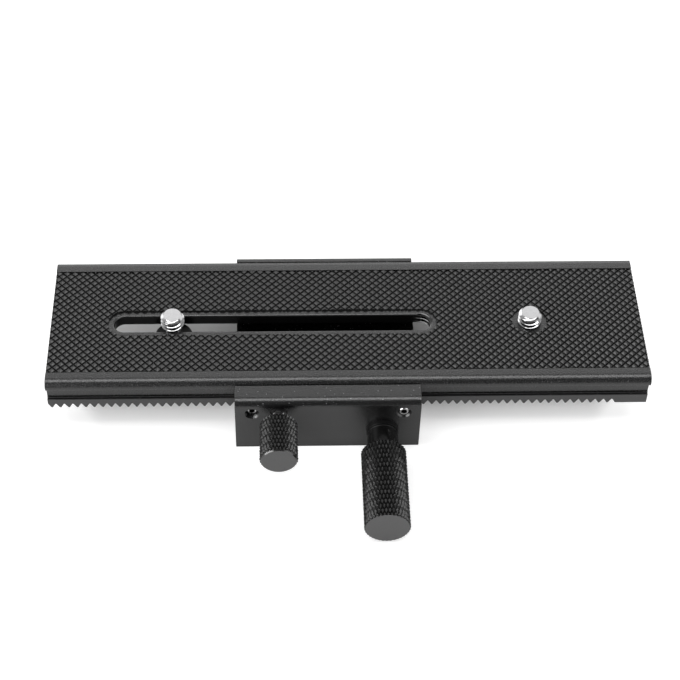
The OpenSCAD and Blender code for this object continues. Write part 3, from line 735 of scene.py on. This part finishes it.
def buildCarriage():
    s, r = carriageSizes, railSizes
    half = railHigh.y
    lipZ = railHigh.z - r["lip"]
    grooveZ = lipZ - r["grooveHeight"]
    mouthIn = half + s["mouthGap"]
    rib = half - r["grooveDepth"] + s["slideGap"]
    legRoom = half - r["flangeBack"] + s["legGap"]
    wellIn = half - r["flangeBack"] - r["leg"] - s["legGap"]
    floorZ = screwLow.z - s["floorUnderHead"]
    wellZ = rackLow.z - s["wellUnderTip"]
    bed = gibLow.y - s["seat"]
    ribTop, ribFoot = lipZ - s["slideGap"], grooveZ + s["slideGap"]
    bedZ, bedTop = ribFoot - s["seat"], ribTop + 2 * s["slideGap"]
    points = [(carLow.y, carLow.z), (carHigh.y, carLow.z), (carHigh.y, carHigh.z), (mouthIn, carHigh.z),
              (mouthIn, ribTop), (rib, ribTop), (rib, ribFoot), (legRoom, ribFoot), (legRoom, floorZ),
              (-wellIn, floorZ), (-wellIn, wellZ), (-legRoom, wellZ), (-legRoom, bedZ), (bed, bedZ),
              (bed, bedTop), (-mouthIn, bedTop), (-mouthIn, carHigh.z), (carLow.y, carHigh.z)]
    rounds = [((2,), s["rearRound"], 8), ((17,), s["frontRound"], 16), ((3, 16), s["mouthRound"], 3)]
    bm = sectionBar(points, rounds, carLow.x, carHigh.x, s["endRound"])
    front = carLow.y
    through = bed - front + over
    grubHole = borePoints(s["grubHole"], s["grubSink"], through)
    lockHole = borePoints(s["lockHole"], s["lockSink"], through)
    boreRadius = (bushHigh.x - bushLow.x) / 2 - s["boreInset"]
    cutters = [lathe(grubHole, (-grubX, front, grubZ), "Y", 40),
               lathe(grubHole, (grubX, front, grubZ), "Y", 40),
               lathe(lockHole, (lockAt[0], front, lockAt[1]), "Y", 48),
               prism(48, boreRadius, s["boreDepth"], (gearAt[0], front - over, gearAt[1]), "Y"),
               lathe(borePoints(s["insertRadius"], s["insertSink"], s["insertDepth"]))]
    finishPiece("carriageBlock", cut(bm, cutters), finishes["carriage"], "carriage", ["carriage_body"])


buildCarriage()
print("carriage built")


# gib, set screws, bush, insert
fixedSizes = dict(
    gibSoft=0.2, grubHex=1.5, grubHexDepth=1.6, grubLead=0.35, faceBand=0.1,
    bushBore=2.55, bushWall=0.78, bushSoft=0.06, threadRadius=3.195, threadDepth=0.62, pitch=1.27,
    insertChamfer=0.3, coneRadius=4.7, coneIn=2.6, coneDepth=0.7,
)


def hexagon(width):  # radius of a hexagon's corners from the width across its flats
    return width / 2 / math.cos(math.pi / 6)


def buildFixed():
    s = fixedSizes
    floor = railHigh.z - railSizes["lip"] - railSizes["grooveHeight"] + carriageSizes["slideGap"]
    bm = block((gibLow.x, gibLow.y, max(gibLow.z, floor)), gibHigh)
    soften(bm, list(bm.edges), s["gibSoft"], 3)
    finishPiece("gibStrip", bm, finishes["brass"], "carriage", ["gib_strip"])

    ends = {-grubX: None, grubX: None}
    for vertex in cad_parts["gib_grub_screws"].data.vertices:
        side = -grubX if vertex.co.x < 0 else grubX
        y = vertex.co.y / mm
        ends[side] = y if ends[side] is None else min(ends[side], y)
    both = bmesh.new()
    lead, hexRadius = s["grubLead"], hexagon(s["grubHex"])
    for x, front in ends.items():
        length = grubHigh.y - front
        profile = [(0, 0), (grubRadius - lead, 0), (grubRadius, lead), (grubRadius, length), (0, length)]
        socket = prism(6, hexRadius, s["grubHexDepth"] + over, (x, front - over, grubZ), "Y")
        body = cut(lathe(profile, (x, front, grubZ), "Y", 48), [socket])
        for face in body.faces:  # painted shade: the socket's inside gets the dark boss finish, darker than the screw
            middle = face.calc_center_median()
            inward = math.hypot(middle.x - x, middle.z - grubZ)
            if middle.y > front + s["faceBand"] and inward < hexRadius:
                face.material_index = 1
        join(both, body)
    looks = [finishes["grub"], finishes["boss"]]
    finishPiece("gibSetScrews", both, looks, "carriage", ["gib_grub_screws"])

    flange, bore, soft = (bushHigh.x - bushLow.x) / 2, s["bushBore"], s["bushSoft"]
    thick, depth, sleeve = carLow.y - bushLow.y, bushHigh.y - bushLow.y, bore + s["bushWall"]
    ring = [(bore, 0), (flange - soft, 0), (flange, soft), (flange, thick), (sleeve, thick), (sleeve, depth),
            (bore, depth), (bore, 0)]
    bm = lathe(ring, (gearAt[0], bushLow.y, gearAt[1]), "Y", 72)
    finishPiece("frontBush", bm, finishes["bush"], "carriage", ["front_bush"])

    radius, height = (insertHigh.x - insertLow.x) / 2, insertHigh.z - insertLow.z
    body = lathe([(0, 0), *softRim(radius, 0, height, s["insertChamfer"]), (0, height)], steps=72)
    thread = threadedRod(s["threadRadius"], s["threadDepth"], s["pitch"], height + 2 * over,
                         at=(0, 0, -over))
    depth = s["coneDepth"]
    cone = lathe([(0, -over), (s["coneRadius"], -over), (s["coneIn"], depth), (0, depth)], steps=48)
    finishPiece("tripodInsert", cut(body, [thread, cone]), finishes["insert"], "carriage", ["tripod_insert"])


buildFixed()
print("fixed parts built")


# knobs
knobSizes = dict(
    cellWidth=1.04, focusHelix=19.8, lockHelix=22.3, gap=0.07, slope=0.36, rise=0.38, tipProud=0.03,
    focusChamfer=0.16, rearChamfer=0.25, bossRadius=4.1, bossLength=6.5, bossSoft=0.3, bossInside=0.5,
    shaftBore=2.53, shaftBoreDepth=2, lockProud=0.07, lockChamfer=0.6, studThread=0.38, studPitch=0.7,
    studLead=0.3, neckRadius=1.15, collar=0.25, collarCone=0.1, collarBand=0.15,
)
faceLook = dict(ring=0.22, ringShare=0.3, grain=0.15, patch=2.5, dark=0.032, light=0.042, rough=0.38,
                spread=0.1, specular=0.95, depth=0.01)


def knurledRod(radius, length, helix, frontChamfer, rearChamfer):  # round Z, its outer end at z 0
    s = knobSizes
    columns = round(2 * math.pi * radius / s["cellWidth"])
    cell = 2 * math.pi * radius / columns
    cellLength = cell / math.tan(math.radians(helix))
    rows = math.ceil(length / cellLength) + 2
    bm = flatGrid(columns, rows, columns, rows * cellLength)
    ground = radius + s["tipProud"] - s["rise"]
    wrap(bm, lambda along: ground, columns)
    diamonds(bm, s["gap"], s["slope"], s["rise"])
    bmesh.ops.translate(bm, vec=(0, 0, (length - rows * cellLength) / 2), verts=bm.verts)
    trimEnds(bm, length)
    bm = cut(bm, [chamferRing(radius, frontChamfer, 0, 1), chamferRing(radius, rearChamfer, length, -1)])
    for face in bm.faces:
        middle = face.calc_center_median()
        inward = math.hypot(middle.x, middle.y)
        if middle.z < 1e-3:
            face.material_index = 2
        elif abs(inward - (radius - frontChamfer + middle.z)) < 2 * near and middle.z < frontChamfer:
            face.material_index = 1
    return bm


def buildFocusKnob():
    s = knobSizes
    radius = (focusHigh.x - focusLow.x) / 2
    bm = knurledRod(radius, focusHigh.y - s["bossLength"] - focusLow.y, s["focusHelix"], s["focusChamfer"],
                    s["rearChamfer"])
    standOn(bm, (gearAt[0], focusLow.y, gearAt[1]), "Y")
    face = turnedFace("focusFace", gearAt, faceLook)
    looks = [finishes["knurl"], finishes["knurl"], face, finishes["knurlTop"], finishes["knurlGroundDirtAndShade"]]
    finishPiece("focusGrip", bm, looks, "focus_drive", ["focus_knob"], sharp=20)
    boss, soft, long, low = s["bossRadius"], s["bossSoft"], s["bossLength"], -s["bossInside"]
    bore, boreEnd = s["shaftBore"], long - s["shaftBoreDepth"]
    profile = [(0, low), (boss, low), (boss, long - 2 * soft), (boss - soft / 3, long - soft / 3),
               (boss - soft, long), (bore, long), (bore, boreEnd), (0, boreEnd)]
    bm = lathe(profile, (gearAt[0], focusHigh.y - long, gearAt[1]), "Y", 96)
    for side in bm.faces:  # painted glint: the rear rim gets the shinier, lighter black finish
        if side.calc_center_median().y > focusHigh.y - 2 * soft:
            side.material_index = 1
    looks = [finishes["boss"], finishes["bright"]]
    finishPiece("focusBoss", bm, looks, "focus_drive", (), sharp=40)


def buildLockKnob():
    s = knobSizes
    radius = (lockHigh.x - lockLow.x) / 2 + s["lockProud"]
    bm = knurledRod(radius, lockHigh.y - lockLow.y, s["lockHelix"], s["lockChamfer"], s["rearChamfer"])
    standOn(bm, (lockAt[0], lockLow.y, lockAt[1]), "Y")
    face = turnedFace("lockFace", lockAt, faceLook)
    # painted glint: the front chamfer gets the shinier, lighter black finish
    looks = [finishes["knurl"], finishes["bright"], face, finishes["knurlTop"], finishes["knurlGroundDirtAndShade"]]
    finishPiece("lockGrip", bm, looks, "clamp_knob", ["lock_knob"], sharp=20)


def buildLockScrew():
    s = knobSizes
    low, high = cadSpan("lock_screw")
    radius, neck, cone = (high.x - low.x) / 2, s["neckRadius"], s["collarCone"]
    collar, knobEnd = neck + s["collar"], lockHigh.y - low.y
    face = carLow.y - low.y  # distance from the stud's outer end to the carriage's front face
    band = face + s["collarBand"]
    bm = threadedRod(radius, s["studThread"], s["studPitch"], high.y - low.y, lead=s["studLead"], steps=40)
    ring = [(neck, knobEnd), (neck, face - cone), (collar, face), (radius, face), (radius, band),
            (radius + over, band), (radius + over, knobEnd), (neck, knobEnd)]
    bm = cut(bm, [lathe(ring)])
    for side in bm.faces:  # painted highlight: the cone in front of the carriage gets the bright grub steel finish, so that it shows as a bright ring
        middle = side.calc_center_median()
        if abs(middle.z - face + cone / 2) < 4 * near and math.hypot(middle.x, middle.y) < collar:
            side.material_index = 1
    standOn(bm, (lockAt[0], low.y, lockAt[1]), "Y")
    looks = [finishes["oxide"], finishes["grub"]]
    finishPiece("lockStud", bm, looks, "clamp_knob", ["lock_screw"])


buildFocusKnob()
buildLockKnob()
buildLockScrew()
print("knobs built")


# camera screws
screwSizes = dict(radius=3.12, threadDepth=0.75, pitch=1.27, lead=0.8, neck=2.36, start=150, headHeight=2.9,
                  headSoft=0.35, coinWidth=1.4, coinDepth=1.2, gap=0.02, overlap=0.1, washerGap=0.05,
                  washerSoft=0.12)


def buildCameraScrew(name, node, body):
    s = screwSizes
    low, high = cadSpan(node)
    x, y = (low.x + high.x) / 2, (low.y + high.y) / 2
    foot, top = padLow.z + s["gap"], low.z + s["headHeight"] - s["gap"]
    neckTop, headRadius = foot + s["overlap"], (high.x - low.x) / 2
    thread = threadedRod(s["radius"], s["threadDepth"], s["pitch"], high.z - foot, lead=s["lead"],
                         at=(x, y, foot), steps=72, start=s["start"])
    profile = [(0, low.z), *softRim(headRadius, low.z, top, s["headSoft"]), (s["neck"], top),
               (s["neck"], neckTop), (0, neckTop)]
    head = lathe(profile, (x, y, 0), "Z", 96)
    long, half = headRadius + over, s["coinWidth"] / 2
    groove = block((x - long, y - half, low.z - over), (x + long, y + half, low.z + s["coinDepth"]))
    bm = join(cut(head, [groove]), thread)
    finishPiece(name, bm, finishes["chrome"], body, [node], sharp=28, merge=False)


def buildWasher(name, node, body):
    s = screwSizes
    low, high = cadSpan(node)
    x, y = (low.x + high.x) / 2, (low.y + high.y) / 2
    inner = s["neck"] + s["washerGap"]
    rim = softRim((high.x - low.x) / 2, low.z, high.z, s["washerSoft"])
    ring = [(inner, low.z), *rim, (inner, high.z), (inner, low.z)]
    finishPiece(name, lathe(ring, (x, y, 0), "Z", 72), finishes["nylon"], body, [node])


buildCameraScrew("slotScrew", "camera_screw_a", "slot_screw")
buildCameraScrew("fixedScrew", "camera_screw_b", "fixed_screw")
buildWasher("slotWasher", "washer_a", "slot_washer")
buildWasher("fixedWasher", "washer_b", "fixed_washer")
print("camera screws built")


# small screws
smallScrews = dict(crossWidth=0.45, crossLength=2.0, crossDepth=0.7, threadRadius=1.0, rim=0.2, rimSoft=0.1,
                   stopHex=1.3, stopDepth=0.7, stopSoft=0.15)


def buildRackScrews():
    s = smallScrews
    low, high = cadSpan("rack_screws")
    screws = bmesh.new()
    y, head, thread = (low.y + high.y) / 2, (high.y - low.y) / 2, s["threadRadius"]
    soft, rim = s["rimSoft"], low.z + s["rim"]
    profile = [(0, low.z), (head - soft, low.z), (head, low.z + soft), (head, rim),
               (thread, rim + head - thread), (thread, high.z), (0, high.z)]
    half, thin = s["crossLength"] / 2, s["crossWidth"] / 2
    below, above = low.z - over, low.z + s["crossDepth"]
    for x in screwPlaces:
        bars = [block((x - a, y - b, below), (x + a, y + b, above)) for a, b in ((half, thin), (thin, half))]
        join(screws, cut(lathe(profile, (x, y, 0), "Z", 40), bars))
    finishPiece("rackScrews", screws, finishes["oxide"], "rail", ["rack_screws"])


def buildStopScrews():
    s = smallScrews
    low, high = cadSpan("stop_screws")
    z, head = (low.z + high.z) / 2, (high.z - low.z) / 2
    headY = railHigh.y - railSizes["grooveDepth"]
    height, foot, soft, thread = high.y - headY, low.y - headY, s["stopSoft"], s["threadRadius"]
    both = bmesh.new()
    profile = [(0, foot), (thread, foot), (thread, 0), (head, 0), (head, height - soft),
               (head - soft, height), (0, height)]
    for x in (low.x + head, high.x - head):
        socket = prism(6, hexagon(s["stopHex"]), 2 * over, (x, headY + height - s["stopDepth"], z), "Y")
        join(both, cut(lathe(profile, (x, headY, z), "Y", 48), [socket]))
    finishPiece("stopScrews", both, finishes["oxide"], "rail", ["stop_screws"])


buildRackScrews()
buildStopScrews()

for node, finish in (("pinion_shaft", "shaft"), ("rear_bush", "bronze"), ("lock_tip", "brass")):
    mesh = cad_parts[node].data
    mesh.materials.clear()
    mesh.materials.append(finishes[finish])
print("small parts built")


# floor, world and lamps
studio = dict(  # in metres, degrees and strengths
    floorHalf=3.0, floorFront=-0.11, windowEdge=0.0015,
    floorColour=0.68, floorLift=0.58, floorGloss=0.06,  # the last two add light for the camera and for gloss
    liftFade=0.014, frontFade=0.02, liftFront=-0.005, glossFront=-0.016, liftRear=0.022,
    topBox=dict(at=(-0.08, -0.1, 0.9), size=(1.4, 0.36), power=5.7),
    dimGlow=0.06,  # light from everywhere
    glows=(  # heading from the camera's side towards +X, height, half widths of the bright core and its fade
        dict(heading=180, height=28, core=10, fade=24.5, wide=2.5, strength=1.7),
        dict(heading=180, height=80, core=35, fade=60, wide=1, strength=0.32),
        dict(heading=-50, height=10, core=22, fade=32, wide=1, strength=5.0),
        dict(heading=50, height=10, core=20, fade=32, wide=1, strength=1.3),
        dict(heading=-112, height=12, core=14, fade=34, wide=1, strength=0.9),
        dict(heading=112, height=12, core=14, fade=34, wide=1, strength=0.9),
        dict(heading=0, height=-90, core=30, fade=75, wide=1, strength=0.6),
    ),
)


def smoothStep(value):
    value = value.math("MINIMUM", 1.0).math("MAXIMUM", 0.0)
    return value * value * (3 - value * 2)


def buildFloor():
    bm = bmesh.new()
    bmesh.ops.create_grid(bm, x_segments=1, y_segments=1, size=studio["floorHalf"])
    for v in bm.verts:  # the table ends just in front of the knobs
        v.co.y = max(v.co.y, studio["floorFront"])
    edge = Vector((studio["windowEdge"], studio["windowEdge"], 0))
    low, high = carLow * mm + edge, carHigh * mm - edge
    for corner in (low, high):
        slicePlane(bm, corner, (1, 0, 0), clear=False)
        slicePlane(bm, corner, (0, 1, 0), clear=False)
    window = [face for face in bm.faces  # it lies under the carriage, so its underside gets light from below
              if all(low[k] < face.calc_center_median()[k] < high[k] for k in (0, 1))]
    bmesh.ops.delete(bm, geom=window, context="FACES")
    mesh = bpy.data.meshes.new("floor")
    bm.to_mesh(mesh)
    bm.free()
    f = Finish("floorWhite")
    base = f.node("ShaderNodeBsdfDiffuse", None, {"Color": grey(studio["floorColour"])})
    coords = f.node("ShaderNodeTexCoord", output="Object")
    x, y = (f.node("ShaderNodeSeparateXYZ", None, [coords], output=axis) for axis in "XY")
    fade = studio["liftFade"]
    outside = smoothStep((y - studio["liftRear"]) / fade) + smoothStep((x - railHigh.x * mm + fade) / fade)
    outside = outside + smoothStep((x * -1 + railLow.x * mm + fade) / fade)
    level = 0.0  # nothing is added under the rail, where the slot shows the floor in shade
    for ray, lift, front in (("Is Camera Ray", "floorLift", "liftFront"),
                             ("Is Glossy Ray", "floorGloss", "glossFront")):
        clear = (outside + smoothStep((y * -1 + studio[front]) / studio["frontFade"])).math("MINIMUM", 1.0)
        level = f.node("ShaderNodeLightPath", output=ray) * studio[lift] * clear + level
    glow = f.node("ShaderNodeEmission", None, {"Color": grey(1.0), "Strength": level})
    upper = f.node("ShaderNodeAddShader", None, [base, glow])
    clearBack = f.node("ShaderNodeBsdfTransparent", None, {"Color": grey(1.0)})
    isBack = f.node("ShaderNodeNewGeometry", output="Backfacing")  # the underside shows through the floor
    both = f.node("ShaderNodeMixShader", None, [isBack, upper, clearBack])
    f.node("ShaderNodeOutputMaterial", None, {"Surface": both})
    mesh.materials.append(f.material)
    floor = bpy.data.objects.new("floor", mesh)
    bpy.context.scene.collection.objects.link(floor)


def buildWorld():  # soft bright walls on every side and light from below, but white to the camera
    world = bpy.data.worlds.new("studio")
    bpy.context.scene.world = world
    f = Finish("studio", world)
    direction = f.node("ShaderNodeTexCoord", output="Generated")
    level = None
    for glow in studio["glows"]:
        heading, height = math.radians(glow["heading"]), math.radians(glow["height"])
        aim = (math.sin(heading) * math.cos(height), -math.cos(heading) * math.cos(height), math.sin(height))
        scale = (1 / glow["wide"], 1, 1)
        narrowed = f.node("ShaderNodeVectorMath", {"operation": "MULTIPLY"}, [direction, scale])
        unit = f.node("ShaderNodeVectorMath", {"operation": "NORMALIZE"}, [narrowed])
        lean = f.node("ShaderNodeVectorMath", {"operation": "DOT_PRODUCT"}, [unit, aim], output="Value")
        inner, outer = math.cos(math.radians(glow["core"])), math.cos(math.radians(glow["fade"]))
        part = smoothStep((lean - outer) / (inner - outer)) * glow["strength"]
        level = part + level if level else part + studio["dimGlow"]
    lit = f.node("ShaderNodeBackground", None, {"Color": grey(1.0), "Strength": level})
    white = f.node("ShaderNodeBackground", None, {"Color": grey(1.0), "Strength": 1.0})
    isCamera = f.node("ShaderNodeLightPath", output="Is Camera Ray")
    both = f.node("ShaderNodeMixShader", None, [isCamera, lit, white])
    f.node("ShaderNodeOutputWorld", None, {"Surface": both})


def addSoftbox(name, look):
    lamp = bpy.data.lights.new(name, "AREA")
    lamp.shape = "RECTANGLE"
    lamp.size, lamp.size_y = look["size"]
    lamp.energy = look["power"]
    box = bpy.data.objects.new(name, lamp)
    box.location = look["at"]
    bpy.context.scene.collection.objects.link(box)


buildFloor()
buildWorld()
addSoftbox("topBox", studio["topBox"])
bpy.context.scene.view_settings.view_transform = "Standard"
print("studio built")
